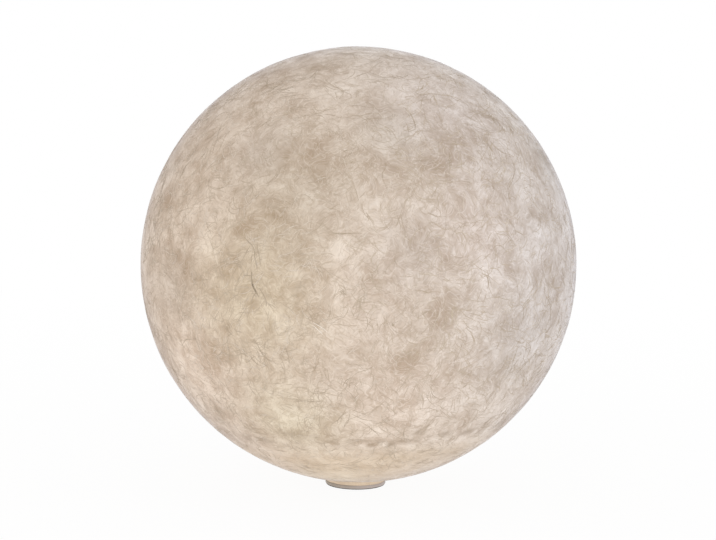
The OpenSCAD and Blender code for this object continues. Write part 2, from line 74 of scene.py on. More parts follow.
def add(tree, kind, sockets=None, **settings):
    """Adds a node with its settings, and gives each socket a value, a hex colour or a node's output."""
    new = tree.nodes.new(kind)
    for name, value in settings.items():
        setattr(new, name, value)
    for name, value in (sockets or {}).items():
        if isinstance(value, bpy.types.NodeSocket):
            tree.links.new(value, new.inputs[name])
        else:
            new.inputs[name].default_value = linear(value) if isinstance(value, str) else value
    return new


def mesh_piece(name, points, faces):
    """A mesh object from points in metres, smooth but for its sharp edges."""
    mesh = bpy.data.meshes.new(name)
    mesh.from_pydata([tuple(p) for p in points], [], [tuple(f) for f in faces])
    mesh.validate()
    mesh.shade_smooth()
    mesh.set_sharp_from_angle(angle=math.radians(40))
    piece = bpy.data.objects.new(name, mesh)
    bpy.context.scene.collection.objects.link(piece)
    return piece


def seen_share(tree):
    """1 for rays that see a thing, straight, mirrored or through glass, and 0 for those that it lights by."""
    ray = add(tree, "ShaderNodeLightPath")
    seen = ray.outputs["Is Camera Ray"]
    for kind in ("Is Glossy Ray", "Is Transmission Ray"):
        seen = add(tree, "ShaderNodeMath", {0: seen, 1: ray.outputs[kind]}, operation="MAXIMUM").outputs[0]
    return seen


floor = mesh_piece("floor", [(-4, -4, 0), (4, -4, 0), (4, 4, 0), (-4, 4, 0)], [(0, 1, 2, 3)])

# White paper on a light table, which is why the lamp's shadow on it is faint
paper = bpy.data.materials.new("white_paper_on_light_table")
paper.use_nodes = True
tree = paper.node_tree
tree.nodes.clear()
grain = add(tree, "ShaderNodeTexNoise", {"Scale": 3.0, "Detail": 2.0})
ends = {0: grain.outputs["Fac"], 6: "#FAFAFA", 7: "#FFFFFF"}
paper_colour = add(tree, "ShaderNodeMix", ends, data_type="RGBA").outputs[2]
matt = add(tree, "ShaderNodeBsdfDiffuse", {"Color": paper_colour})
glow = add(tree, "ShaderNodeEmission", {"Color": "#FFFFFF", "Strength": 1.0})
away = add(tree, "ShaderNodeTexCoord").outputs["Object"]
away = add(tree, "ShaderNodeVectorMath", {0: away}, operation="LENGTH").outputs["Value"]
away = add(tree, "ShaderNodeMapRange", {"Value": away, "From Min": 0.5, "From Max": 1.6, "To Min": 0.93})
share = add(tree, "ShaderNodeMapRange", {"Value": seen_share(tree), "To Min": 0.8, "To Max": away.outputs[0]})
paper_mix = add(tree, "ShaderNodeMixShader", {0: share.outputs[0], 1: matt.outputs[0], 2: glow.outputs[0]})
add(tree, "ShaderNodeOutputMaterial", {"Surface": paper_mix.outputs[0]})
floor.data.materials.append(paper)

# The wall, and the soft light from all round, a little brighter from above
room = bpy.data.worlds.new("white_room")
bpy.context.scene.world = room
room.use_nodes = True
tree = room.node_tree
tree.nodes.clear()
way = add(tree, "ShaderNodeTexCoord").outputs["Generated"]
height = add(tree, "ShaderNodeSeparateXYZ", {0: way}).outputs["Z"]
dim = add(tree, "ShaderNodeMapRange", {"Value": height, "To Min": 0.79, "To Max": 0.92}).outputs[0]
even = add(tree, "ShaderNodeBackground", {"Color": "#FFFFFF", "Strength": dim})
white = add(tree, "ShaderNodeBackground", {"Color": "#FFFFFF", "Strength": 1.0})
both = add(tree, "ShaderNodeMixShader", {0: seen_share(tree), 1: even.outputs[0], 2: white.outputs[0]})
add(tree, "ShaderNodeOutputWorld", {"Surface": both.outputs[0]})

for name, place, width, watts in (
    ("soft_box_left", (-1.3, -3.2, 1.0), 2.0, 13),
    ("soft_box_right", (1.5, -3.1, 0.8), 2.0, 13),
    ("soft_box_behind", (0.0, 3.3, 1.1), 2.0, 9),
):
    lamp = bpy.data.objects.new(name, bpy.data.lights.new(name, "AREA"))
    lamp.data.size = width
    lamp.data.energy = watts
    lamp.location = place
    lamp.rotation_euler = (globe_middle - Vector(place)).to_track_quat("-Z", "Y").to_euler()
    lamp.visible_camera = False
    bpy.context.scene.collection.objects.link(lamp)


# ---- Upper and lower shell ----
# The globe is two thin shells of clear resin full of fine curly fibres, laid by
# hand over a ball mould in crossing tufts. They meet at a slightly tilted seam,
# 47 degrees up from the bottom. The lower one closes in round the neck.

globe_radius = 0.250
skin_radius = 0.2495
skin_inside = 0.2480
seam_lean = math.radians(3.5)
seam_depth = globe_radius * math.cos(math.radians(47))
crown_hole = 0.0376
neck_hole = 0.0348
lay_height = 0.00022

# The hand-laid surface is a little uneven: waves of 25 to 90 mm across it
dice = np.random.default_rng(11)
lay_ways = dice.normal(size=(14, 3))
lay_ways /= np.linalg.norm(lay_ways, axis=1)[:, None]
lay_ways *= 2 * math.pi / dice.uniform(0.025, 0.09, 14)[:, None]
lay_starts = dice.uniform(0, 2 * math.pi, 14)


def laid_radius(ways):
    """The radius of the uneven skin along each unit direction from the globe's middle."""
    waves = np.sin(ways @ lay_ways.T * globe_radius + lay_starts).mean(axis=-1)
    return skin_radius + lay_height * np.clip(2.2 * waves, -1, 1)


def from_middle(ways, radius):
    """The points that lie along the directions, at that radius from the globe's middle."""
    return ways * np.broadcast_to(radius, ways.shape[:-1])[..., None] + np.array(globe_middle)


def crown_edge(radius, turn):
    return np.full_like(turn, math.asin(crown_hole / radius))


def neck_edge(radius, turn):
    return np.full_like(turn, math.pi - math.asin(neck_hole / radius))


def seam_edge(radius, turn):
    across, up = -math.sin(seam_lean) * np.cos(turn), math.cos(seam_lean)
    return np.arctan2(across, up) + np.arccos(-seam_depth / radius / np.hypot(across, up))


def shell_ways(radius, top, bottom, rows, sides):
    """Unit directions in rows from one edge down to the other."""
    turn = np.linspace(0, 2 * math.pi, sides, endpoint=False)
    first, last = top(radius, turn), bottom(radius, turn)
    down = first + np.linspace(0, 1, rows)[:, None] * (last - first)
    return np.stack([np.sin(down) * np.cos(turn), np.sin(down) * np.sin(turn), np.cos(down)], -1)


def shell(name, top, bottom, rows, sides=288):
    """A thin shell between two edges, uneven outside and smooth inside."""
    outside = shell_ways(skin_radius, top, bottom, rows, sides)
    inside = shell_ways(skin_inside, top, bottom, rows, sides)
    points = np.concatenate([
        from_middle(outside, laid_radius(outside)).reshape(-1, 3),
        from_middle(inside, skin_inside).reshape(-1, 3),
    ])
    i, j = np.meshgrid(np.arange(rows - 1), np.arange(sides), indexing="ij")
    k = (j + 1) % sides
    this_row, next_row = i * sides, (i + 1) * sides
    out = np.stack([this_row + j, next_row + j, next_row + k, this_row + k], -1).reshape(-1, 4)
    j, k = j[0], k[0]
    last, back = (rows - 1) * sides, rows * sides
    rims = [
        np.stack([j, k, back + k, back + j], -1),
        np.stack([last + k, last + j, back + last + j, back + last + k], -1),
    ]
    return mesh_piece(name, points, np.concatenate([out, out[:, ::-1] + back, *rims]))


upper_skin = shell("upper_skin", crown_edge, seam_edge, 130)
lower_skin = shell("lower_skin", seam_edge, neck_edge, 48)


def begin_material(name, constants):
    """A new material with its node tree, its shader, and the place on the lamp in millimetres."""
    material = bpy.data.materials.new(name)
    material.use_nodes = True
    tree = material.node_tree
    surface = tree.nodes["Principled BSDF"]
    for socket, value in constants.items():
        surface.inputs[socket].default_value = value
    place = add(tree, "ShaderNodeTexCoord").outputs["Object"]
    place = add(tree, "ShaderNodeVectorMath", {0: place, "Scale": 1000.0}, operation="SCALE").outputs[0]
    return material, tree, surface, place


def nearness(tree, place, spot, reach):
    """1 at a spot, falling smoothly to 0 at its reach, both in millimetres."""
    off = add(tree, "ShaderNodeVectorMath", {0: place, 1: spot}, operation="DISTANCE").outputs["Value"]
    ends = {"Value": off, "From Max": float(reach), "To Min": 1.0, "To Max": 0.0}
    return add(tree, "ShaderNodeMapRange", ends, interpolation_type="SMOOTHSTEP").outputs[0]


def drifted(tree, place, noise, most):
    """The place, moved by a noise's colour, by up to half of the most in millimetres each way."""
    from_grey = {0: noise.outputs["Color"], 1: (0.5, 0.5, 0.5)}
    move = add(tree, "ShaderNodeVectorMath", from_grey, operation="SUBTRACT")
    move = add(tree, "ShaderNodeVectorMath", {0: move.outputs[0], "Scale": most}, operation="SCALE")
    return add(tree, "ShaderNodeVectorMath", {0: place, 1: move.outputs[0]}, operation="ADD").outputs[0]


def from_axis(tree, place):
    """How far a place is from the lamp's axis."""
    flat = add(tree, "ShaderNodeVectorMath", {0: place, 1: (1, 1, 0)}, operation="MULTIPLY")
    return add(tree, "ShaderNodeVectorMath", {0: flat.outputs[0]}, operation="LENGTH").outputs["Value"]


# Fibre laminate: clear resin with curly plant fibre right through it, sanded
# and waxed. It is cloudy where the tufts lie thick or thin, brown where they
# are thick, and combed all over with darker and paler strands. The wax leaves a
# faint cool bloom on the satin resin.
waxed_resin = {
    "IOR": 1.5,
    "Specular IOR Level": 0.3,
    "Sheen Weight": 0.28,
    "Sheen Roughness": 0.3,
    "Sheen Tint": linear("#9CB4DC"),
}
laminate, tree, surface, place = begin_material("fibre_laminate", waxed_resin)
middle = tuple(v * 1000 for v in globe_middle)
place = add(tree, "ShaderNodeVectorMath", {0: place, 1: middle}, operation="SUBTRACT").outputs[0]

# Thick and thin places in the lay: clouds about 50 mm and 17 mm across, drawn
# out into swirls
drift = add(tree, "ShaderNodeTexNoise", {"Vector": place, "Scale": 1 / 38, "Detail": 2.0})
swirl = drifted(tree, place, drift, 34.0)
wide = add(tree, "ShaderNodeTexNoise", {"Vector": swirl, "Scale": 1 / 50, "Detail": 2.0, "Roughness": 0.5})
tufts = add(tree, "ShaderNodeTexNoise", {"Vector": swirl, "Scale": 1 / 17, "Detail": 3.0, "Roughness": 0.55})
wide_share = add(tree, "ShaderNodeMath", {0: wide.outputs["Fac"], 1: 0.62}, operation="MULTIPLY").outputs[0]
both = {0: tufts.outputs["Fac"], 1: 0.47, 2: wide_share}
both = add(tree, "ShaderNodeMath", both, operation="MULTIPLY_ADD").outputs[0]
cloud = add(tree, "ShaderNodeMapRange", {"Value": both, "From Min": 0.36, "From Max": 0.73}).outputs[0]

# The thickest and thinnest places on the front: each one's place from the
# globe's middle and reach, in millimetres, and how much paler it is. Their
# edges are ragged.
ragged = add(tree, "ShaderNodeTexNoise", {"Vector": place, "Scale": 1 / 12, "Detail": 2.0})
ragged = drifted(tree, place, ragged, 26.0)
for spot, reach, paler in (
    ((-154, -191, 46), 26, 0.34), ((-181, -159, -66), 30, 0.42), ((-178, -148, -93), 22, 0.26),
    ((138, -207, 20), 28, 0.30), ((-8, -249, 5), 24, 0.22), ((-18, -244, 50), 34, 0.25),
    ((-79, -235, 26), 14, 0.24), ((-56, -220, -105), 24, 0.22), ((-38, -160, 187), 26, 0.22),
    ((197, -141, 62), 34, 0.34), ((-62, -238, -40), 20, 0.20),
    ((-210, -109, 79), 40, -0.42), ((80, -236, -20), 24, -0.32), ((-82, -222, 78), 42, -0.34),
    ((188, -98, 132), 36, -0.42), ((56, -230, -79), 24, -0.24), ((-56, -188, 152), 42, -0.42),
    ((101, -184, 134), 40, -0.32), ((-111, -223, -5), 30, -0.4), ((-140, -207, -3), 24, -0.2),
    ((-47, -244, 22), 18, -0.22), ((31, -245, 39), 14, -0.24), ((-8, -58, 243), 40, 0.12),
    ((54, -135, 204), 42, 0.12), ((118, -219, -24), 26, 0.28), ((129, -130, 170), 24, 0.22),
    ((69, -240, -2), 26, -0.26), ((-68, -240, -4), 34, -0.22), ((165, -138, 130), 40, -0.26),
    ((36, -245, -34), 26, -0.2), ((-133, -117, 176), 34, -0.36), ((-126, -136, -168), 30, 0.32),
    ((-51, -243, -26), 24, 0.3), ((-177, -166, 62), 24, -0.32), ((-65, -230, -74), 24, 0.26),
):
    near = nearness(tree, ragged, spot, reach)
    cloud = add(tree, "ShaderNodeMath", {0: near, 1: paler, 2: cloud}, operation="MULTIPLY_ADD").outputs[0]

# Combed strands: fibres that lie side by side, 3 to 5 mm apart, and follow the
# curl of the tuft. Each layer is broken into lengths of about 20 mm. They are
# drawn about 0.8 mm wide, coarser than the real ones, so that they show.
strands = []
for shift, curl, lines, thin in (
    ((0, 0, 0), 30, 13.0, 0.15),
    ((410, 90, 230), 19, 8.0, 0.15),
    ((120, 530, 610), 44, 19.0, 0.15),
    ((770, 340, 150), 16, 7.0, 0.16),
    ((560, 720, 440), 34, 14.0, 0.15),
):
    moved = add(tree, "ShaderNodeVectorMath", {0: swirl, 1: shift}, operation="ADD").outputs[0]
    curls = add(
        tree,
        "ShaderNodeTexNoise",
        {"Vector": moved, "Scale": 1 / curl, "Detail": 1.2, "Roughness": 0.4, "Distortion": 0.7},
    )
    wave = add(tree, "ShaderNodeMath", {0: curls.outputs["Fac"], 1: lines}, operation="MULTIPLY")
    wave = add(tree, "ShaderNodeMath", {0: wave.outputs[0], 1: 0.5}, operation="PINGPONG")
    line = add(
        tree,
        "ShaderNodeMapRange",
        {"Value": wave.outputs[0], "From Min": 0.0, "From Max": thin, "To Min": 1.0, "To Max": 0.0},
    )
    ends = add(tree, "ShaderNodeTexNoise", {"Vector": moved, "Scale": 1 / 9, "Detail": 1.0})
    ends = add(tree, "ShaderNodeMapRange", {"Value": ends.outputs["Fac"], "From Min": 0.42, "From Max": 0.56})
    line = add(tree, "ShaderNodeMath", {0: line.outputs[0], 1: ends.outputs[0]}, operation="MULTIPLY")
    strands.append(line.outputs[0])
dark = add(tree, "ShaderNodeMath", {0: strands[0], 1: strands[1]}, operation="MAXIMUM").outputs[0]
dark = add(tree, "ShaderNodeMath", {0: dark, 1: strands[2]}, operation="MAXIMUM").outputs[0]
pale = add(tree, "ShaderNodeMath", {0: strands[3], 1: strands[4]}, operation="MAXIMUM").outputs[0]

# The seam: a broken row of brown dashes 10 to 40 mm long, where the strip behind
# it took up resin, with pale blebs of air beside them. The skin below it is
# smoother, wiped round and round.
up_seam = add(
    tree,
    "ShaderNodeVectorMath",
    {0: place, 1: (-math.sin(seam_lean), 0, math.cos(seam_lean))},
    operation="DOT_PRODUCT",
).outputs["Value"]
up_seam = add(tree, "ShaderNodeMath", {0: up_seam, 1: seam_depth * 1000}, operation="ADD").outputs[0]
flat = add(tree, "ShaderNodeVectorMath", {0: ragged, 1: (1 / 26, 1 / 26, 1 / 9)}, operation="MULTIPLY")
dashes = add(tree, "ShaderNodeTexNoise", {"Vector": flat.outputs[0], "Scale": 1.0, "Detail": 2.0})
dashes = add(tree, "ShaderNodeMapRange", {"Value": dashes.outputs["Fac"], "From Min": 0.5, "From Max": 0.62})
near_seam = add(tree, "ShaderNodeMath", {0: up_seam}, operation="ABSOLUTE")
near_seam = add(
    tree,
    "ShaderNodeMapRange",
    {"Value": near_seam.outputs[0], "From Min": 1.0, "From Max": 7.0, "To Min": 0.5, "To Max": 0.0},
)
seam = add(tree, "ShaderNodeMath", {0: dashes.outputs[0], 1: near_seam.outputs[0]}, operation="MULTIPLY")
seam = seam.outputs[0]

# The dashes and blebs that show in front: each one's place, reach and height in
# millimetres, and how brown it is
frayed = add(tree, "ShaderNodeMix", {0: 0.2, 4: place, 5: ragged}, data_type="VECTOR").outputs[1]
blebs = 0.0
for spot, reach, tall, brown in (
    ((38, -178, -172), 11, 8, 1.0), ((50, -178, -168), 17, 4, 0.85), ((17, -180, -173), 8, 6, 0.9),
    ((8, -186, -167), 15, 4, 0.6), ((95, -163, -163), 14, 9, 0.85), ((122, -143, -164), 18, 9, 0.85),
    ((67, -180, -158), 15, 10, 0.6), ((-101, -144, -176), 16, 7, 0.75), ((-121, -126, -178), 12, 7, 0.65),
    ((-61, -178, -162), 34, 10, 0.5), ((29, -179, -173), 8, 8, -1.0), ((7, -180, -174), 7, 5, -0.9),
    ((59, -169, -176), 18, 7, -0.6), ((-79, -161, -174), 10, 6, -0.9), ((27, -193, -154), 34, 9, -0.7),
    ((110, -135, -175), 26, 9, -0.5),
):
    off = add(tree, "ShaderNodeVectorMath", {0: frayed, 1: spot}, operation="SUBTRACT")
    off = add(
        tree,
        "ShaderNodeVectorMath",
        {0: off.outputs[0], 1: (1 / reach, 1 / reach, 1 / tall)},
        operation="MULTIPLY",
    )
    off = add(tree, "ShaderNodeVectorMath", {0: off.outputs[0]}, operation="LENGTH").outputs["Value"]
    off = add(
        tree,
        "ShaderNodeMapRange",
        {"Value": off, "To Min": abs(brown), "To Max": 0.0},
        interpolation_type="SMOOTHSTEP",
    ).outputs[0]
    if brown > 0:
        seam = add(tree, "ShaderNodeMath", {0: seam, 1: off}, operation="MAXIMUM").outputs[0]
    else:
        blebs = add(tree, "ShaderNodeMath", {0: blebs, 1: off}, operation="MAXIMUM").outputs[0]
low = add(
    tree,
    "ShaderNodeMapRange",
    {"Value": up_seam, "From Min": -24.0, "From Max": -4.0, "To Min": 1.0, "To Max": 0.0},
).outputs[0]
round_way = add(tree, "ShaderNodeVectorMath", {0: ragged, 1: (1 / 40, 1 / 40, 1 / 6)}, operation="MULTIPLY")
wiped = add(tree, "ShaderNodeTexNoise", {"Vector": round_way.outputs[0], "Scale": 1.0, "Detail": 3.0})
wiped = add(tree, "ShaderNodeMapRange", {"Value": wiped.outputs["Fac"], "From Min": 0.32, "From Max": 0.68})

# Colours: stone where the lay is thick, through linen, to ivory where it thins
colour = add(tree, "ShaderNodeMix", {0: cloud, 6: "#B8A490", 7: "#EADDCF"}, data_type="RGBA").outputs[2]
ends = {0: wiped.outputs[0], 6: "#CBB598", 7: "#E4D2BA"}
smooth = add(tree, "ShaderNodeMix", ends, data_type="RGBA").outputs[2]
low_share = add(tree, "ShaderNodeMath", {0: low, 1: 0.6}, operation="MULTIPLY").outputs[0]
colour = add(tree, "ShaderNodeMix", {0: low_share, 6: colour, 7: smooth}, data_type="RGBA").outputs[2]
fewer = add(tree, "ShaderNodeMapRange", {"Value": low, "To Min": 0.38, "To Max": 0.15}).outputs[0]
dark = add(tree, "ShaderNodeMath", {0: dark, 1: fewer}, operation="MULTIPLY").outputs[0]
pale = add(tree, "ShaderNodeMath", {0: pale, 1: fewer}, operation="MULTIPLY").outputs[0]
colour = add(tree, "ShaderNodeMix", {0: dark, 6: colour, 7: "#AA967C"}, data_type="RGBA").outputs[2]
colour = add(tree, "ShaderNodeMix", {0: pale, 6: colour, 7: "#F2E7DB"}, data_type="RGBA").outputs[2]
seam = add(tree, "ShaderNodeMath", {0: seam, 1: 0.8}, operation="MULTIPLY").outputs[0]
colour = add(tree, "ShaderNodeMix", {0: seam, 6: colour, 7: "#A08C76"}, data_type="RGBA").outputs[2]
blebs = add(tree, "ShaderNodeMath", {0: blebs, 1: 0.6}, operation="MULTIPLY").outputs[0]
colour = add(tree, "ShaderNodeMix", {0: blebs, 6: colour, 7: "#F0E3D5"}, data_type="RGBA").outputs[2]

# Resin squeezed out round the crown patch, a thin brown ring
squeezed = add(
    tree,
    "ShaderNodeMapRange",
    {"Value": from_axis(tree, place), "From Min": 38.2, "From Max": 41.0, "To Min": 0.4, "To Max": 0.0},
).outputs[0]
sides = add(tree, "ShaderNodeSeparateXYZ", {0: place})
above = add(tree, "ShaderNodeMath", {0: sides.outputs["Z"], 1: 0.0}, operation="GREATER_THAN").outputs[0]
squeezed = add(tree, "ShaderNodeMath", {0: squeezed, 1: above}, operation="MULTIPLY").outputs[0]
colour = add(tree, "ShaderNodeMix", {0: squeezed, 6: colour, 7: "#B5A392"}, data_type="RGBA").outputs[2]

# Crinkles of 3 mm all over, where the fibres cross, make the colour lighter and
# darker: partly their own tone, partly painted light and shade of their relief
crinkle_tone_and_shading = add(
    tree,
    "ShaderNodeTexNoise",
    {"Vector": swirl, "Scale": 1 / 3.2, "Detail": 1.5, "Roughness": 0.6, "Distortion": 1.2},
)
crinkle_tone_and_shading = add(
    tree,
    "ShaderNodeMapRange",
    {"Value": crinkle_tone_and_shading.outputs["Fac"], "From Min": 0.3, "From Max": 0.7, "To Min": 0.945, "To Max": 1.055},
).outputs[0]

# The resin's colour drifts over the globe, and much of the drift is painted
# light: olive and warmer towards the left, partly where it is thick, cooler and
# greyer towards the right, as if a warm light fell from the left and a cool one
# from the right. Painted shade darkens it towards the top, with a paler, warmer
# cream below, as if the bulb low inside lit the lower part more. The smaller
# areas are partly the resin's own thick and thin places and partly painted light
# and shade. Each area has its place and reach in millimetres, and what it adds to
# the red, green and blue.
# Painted light across and painted shade upwards: warm left, cool right, darker top, paler bottom
painted_cool_light_rightwards, painted_shade_upwards = (0.030, 0.075, 0.135), (-0.045, -0.035, -0.025)
right = add(tree, "ShaderNodeVectorMath", {0: painted_cool_light_rightwards, "Scale": sides.outputs["X"]}, operation="SCALE")
up = add(tree, "ShaderNodeVectorMath", {0: painted_shade_upwards, "Scale": sides.outputs["Z"]}, operation="SCALE")
cast = add(tree, "ShaderNodeVectorMath", {0: right.outputs[0], 1: up.outputs[0]}, operation="ADD")
cast = add(tree, "ShaderNodeVectorMath", {0: cast.outputs[0], "Scale": 1 / 250}, operation="SCALE")
cast = add(tree, "ShaderNodeVectorMath", {0: cast.outputs[0], 1: (0.977, 0.960, 0.953)}, operation="ADD")
# The wide cool area on the right and the paler one below are painted light as well
for spot, reach, tint in (
    ((-105, -224, -8), 125, (-0.016, -0.008, -0.074)),
    ((210, -130, 20), 260, (-0.018, 0.016, 0.1)),
    ((90, -130, 190), 140, (-0.01, -0.002, 0.045)),
    ((-71, -215, 106), 115, (-0.085, -0.08, -0.1)),
    ((55, -238, 46), 60, (-0.09, -0.09, -0.08)),
    ((0, -160, -190), 130, (0.05, 0.055, 0.045)),
    ((-71, -190, -145), 90, (-0.012, 0.012, -0.05)),
    ((-176, -148, -95), 85, (0.13, 0.13, 0.145)),
    ((176, -165, -60), 90, (-0.09, -0.085, -0.08)),
    ((51, -215, -117), 95, (0.09, 0.09, 0.105)),
    ((110, -159, -159), 50, (0.03, 0.03, 0.03)),
    ((33, -184, 166), 65, (-0.12, -0.12, -0.13)),
    ((-107, -174, 144), 60, (-0.11, -0.11, -0.1)),
    ((-200, -142, -10), 65, (-0.1, -0.095, -0.085)),
    ((123, -208, 66), 85, (0.065, 0.06, 0.08)),
    ((-20, -90, -232), 85, (-0.004, 0.0, -0.055)),
    ((0, -250, 0), 90, (-0.007, -0.013, -0.012)),
    ((207, -60, 124), 62, (-0.065, -0.06, -0.065)),
    ((-122, -66, -207), 62, (0.045, 0.05, 0.035)),
):
    area = add(
        tree,
        "ShaderNodeVectorMath",
        {0: tint, "Scale": nearness(tree, ragged, spot, reach)},
        operation="SCALE",
    )
    cast = add(tree, "ShaderNodeVectorMath", {0: cast.outputs[0], 1: area.outputs[0]}, operation="ADD")
# Crinkles scale the colour: partly tone, partly painted light and shade of their relief
cast = add(tree, "ShaderNodeVectorMath", {0: cast.outputs[0], "Scale": crinkle_tone_and_shading}, operation="SCALE")
colour = add(tree, "ShaderNodeVectorMath", {0: cast.outputs[0], 1: colour}, operation="MULTIPLY").outputs[0]
tree.links.new(colour, surface.inputs["Base Color"])

# Duller where fibres reach the surface, and they stand up by hundredths of a
# millimetre
rough = add(tree, "ShaderNodeMapRange", {"Value": cloud, "To Min": 0.62, "To Max": 0.5})
tree.links.new(rough.outputs[0], surface.inputs["Roughness"])
height = add(tree, "ShaderNodeMath", {0: tufts.outputs["Fac"], 1: 0.0006}, operation="MULTIPLY")
height = add(tree, "ShaderNodeMath", {0: dark, 1: 0.00018, 2: height.outputs[0]}, operation="MULTIPLY_ADD")
bump = add(tree, "ShaderNodeBump", {"Height": height.outputs[0], "Strength": 0.5, "Distance": 1.0})
tree.links.new(bump.outputs[0], surface.inputs["Normal"])

for piece, node in ((upper_skin, "upper_shell"), (lower_skin, "lower_shell")):
    piece.data.materials.append(laminate)
    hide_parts(node)
    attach(piece, "globe")


# ---- Crown patch ----
# A disc of the same laminate closes the hole through which the mould came out.
# It is thinner and so paler, stands a hair proud, and its lap is bonded inside.

patch_radius = 0.0375
patch_lap = 0.0445
patch_under = 0.2467
patch_lap_top = 0.2479
patch_proud = 0.00015
patch_sides = 144

patch_edge = math.asin(patch_radius / skin_radius)
patch_rim = skin_radius - 0.00005

# Rows of points from the top down: each one's angle from the axis, and its
# radius where that isn't the uneven skin's
patch_rows = [(angle, None) for angle in np.linspace(0.1, 1, 14) * patch_edge] + [
    (patch_edge, patch_rim),
    (math.asin(patch_radius / patch_lap_top), patch_lap_top),
    (math.asin(patch_lap / patch_lap_top), patch_lap_top),
    (math.asin(patch_lap / patch_under), patch_under),
    (0.05, patch_under),
]
turn = np.linspace(0, 2 * math.pi, patch_sides, endpoint=False)
points = []
for down, radius in patch_rows:
    flat, up = math.sin(down), np.full_like(turn, math.cos(down))
    ways = np.stack([flat * np.cos(turn), flat * np.sin(turn), up], -1)
    points.append(from_middle(ways, radius or laid_radius(ways) + patch_proud))
crown_way = np.array([[0.0, 0.0, 1.0]])
points.append(from_middle(crown_way, laid_radius(crown_way) + patch_proud))
points.append(from_middle(crown_way, patch_under))
last_row = (len(patch_rows) - 1) * patch_sides
top_middle, under_middle = last_row + patch_sides, last_row + patch_sides + 1
faces = []
for j in range(patch_sides):
    k = (j + 1) % patch_sides
    faces.append((top_middle, j, k))
    faces.append((under_middle, last_row + k, last_row + j))
    for row in range(0, last_row, patch_sides):
        below = row + patch_sides
        faces.append((row + j, below + j, below + k, row + k))
crown_disc = mesh_piece("crown_disc", np.concatenate(points), faces)

# Thin laminate: paler, with few fibres left after sanding
thin_resin = {**waxed_resin, "Roughness": 0.52}
thin_laminate, tree, surface, place = begin_material("thin_fibre_laminate", thin_resin)
haze = add(tree, "ShaderNodeTexNoise", {"Vector": place, "Scale": 1 / 12, "Detail": 4.0, "Roughness": 0.6})
haze = add(tree, "ShaderNodeMapRange", {"Value": haze.outputs["Fac"], "From Min": 0.34, "From Max": 0.66})
ends = {0: haze.outputs[0], 6: "#BDAD9C", 7: "#DCD0C2"}
colour = add(tree, "ShaderNodeMix", ends, data_type="RGBA").outputs[2]
curls = add(tree, "ShaderNodeTexNoise", {"Vector": place, "Scale": 1 / 17, "Detail": 1.2, "Distortion": 0.8})
wave = add(tree, "ShaderNodeMath", {0: curls.outputs["Fac"], 1: 9.0}, operation="MULTIPLY")
wave = add(tree, "ShaderNodeMath", {0: wave.outputs[0], 1: 0.5}, operation="PINGPONG")
line = add(
    tree,
    "ShaderNodeMapRange",
    {"Value": wave.outputs[0], "From Min": 0.0, "From Max": 0.12, "To Min": 0.3, "To Max": 0.0},
)
colour = add(tree, "ShaderNodeMix", {0: line.outputs[0], 6: colour, 7: "#AB9A84"}, data_type="RGBA")
tree.links.new(colour.outputs[2], surface.inputs["Base Color"])
bump = add(tree, "ShaderNodeBump", {"Height": haze.outputs[0], "Strength": 0.3, "Distance": 0.0002})
tree.links.new(bump.outputs[0], surface.inputs["Normal"])

crown_disc.data.materials.append(thin_laminate)
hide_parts("crown_patch")
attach(crown_disc, "globe")


# ---- Fibres in the skin ----
# Thousands of curly plant fibres show in the resin: brown and ivory ones in
# combed strands, longer dark hairs, and a few threads, one of which ends in a
# knot. They lie in the skin's surface, pressed flat as the laminate was rolled.

fibre_step = 0.0030
clear_of_edge = 0.0006


def laid_paths(starts, headings, bends):
    """Walks over the unit ball that turn by a bend at each step: their points, and the ways across them."""
    here, ahead = starts, headings
    points, across = [], []
    arc = fibre_step / globe_radius
    for bend in bends:
        points.append(here)
        across.append(np.cross(here, ahead))
        there = here * math.cos(arc) + ahead * math.sin(arc)
        ahead = ahead * math.cos(arc) - here * math.sin(arc)
        ahead = ahead * np.cos(bend)[:, None] + np.cross(there, ahead) * np.sin(bend)[:, None]
        here = there
    return np.stack(points, 1), np.stack(across, 1)


def flat_fibres(name, points, across, widths, lengths, lift):
    """Flat fibres along the paths, pointed at both ends, and cut off at the patch's edge and the neck."""
    count, steps = points.shape[:2]
    along = np.arange(steps)[None, :] / np.maximum(lengths - 1, 1)[:, None]
    taper = np.sqrt(np.clip(np.sin(np.pi * np.clip(along, 0, 1)), 0.02, 1))
    half = (widths[:, None] * taper / 2 / globe_radius)[..., None]
    out = np.hypot(points[..., 0], points[..., 1]) * globe_radius
    above = points[..., 2] > 0
    on_patch = above & (out < patch_radius - clear_of_edge)
    on_shell = out > np.where(above, crown_hole, neck_hole) + clear_of_edge
    kept = np.where(on_patch[:, :1], on_patch, on_shell).cumprod(axis=1).astype(bool)
    radius = laid_radius(points) + lift[:, None] + patch_proud * on_patch
    radius = np.minimum(radius, globe_radius - 0.00002)
    left, right = from_middle(points + across * half, radius), from_middle(points - across * half, radius)
    corners = np.stack([left, right], 2).reshape(-1, 3)
    i, s = np.meshgrid(np.arange(count), np.arange(steps - 1), indexing="ij")
    first = ((i * steps + s) * 2)[(s < lengths[:, None] - 1) & kept[:, 1:]]
    quads = np.stack([first, first + 1, first + 3, first + 2], -1)
    used, again = np.unique(quads, return_inverse=True)
    return mesh_piece(name, corners[used], again.reshape(quads.shape))


def unit(ways):
    return ways / np.linalg.norm(ways, axis=-1, keepdims=True)


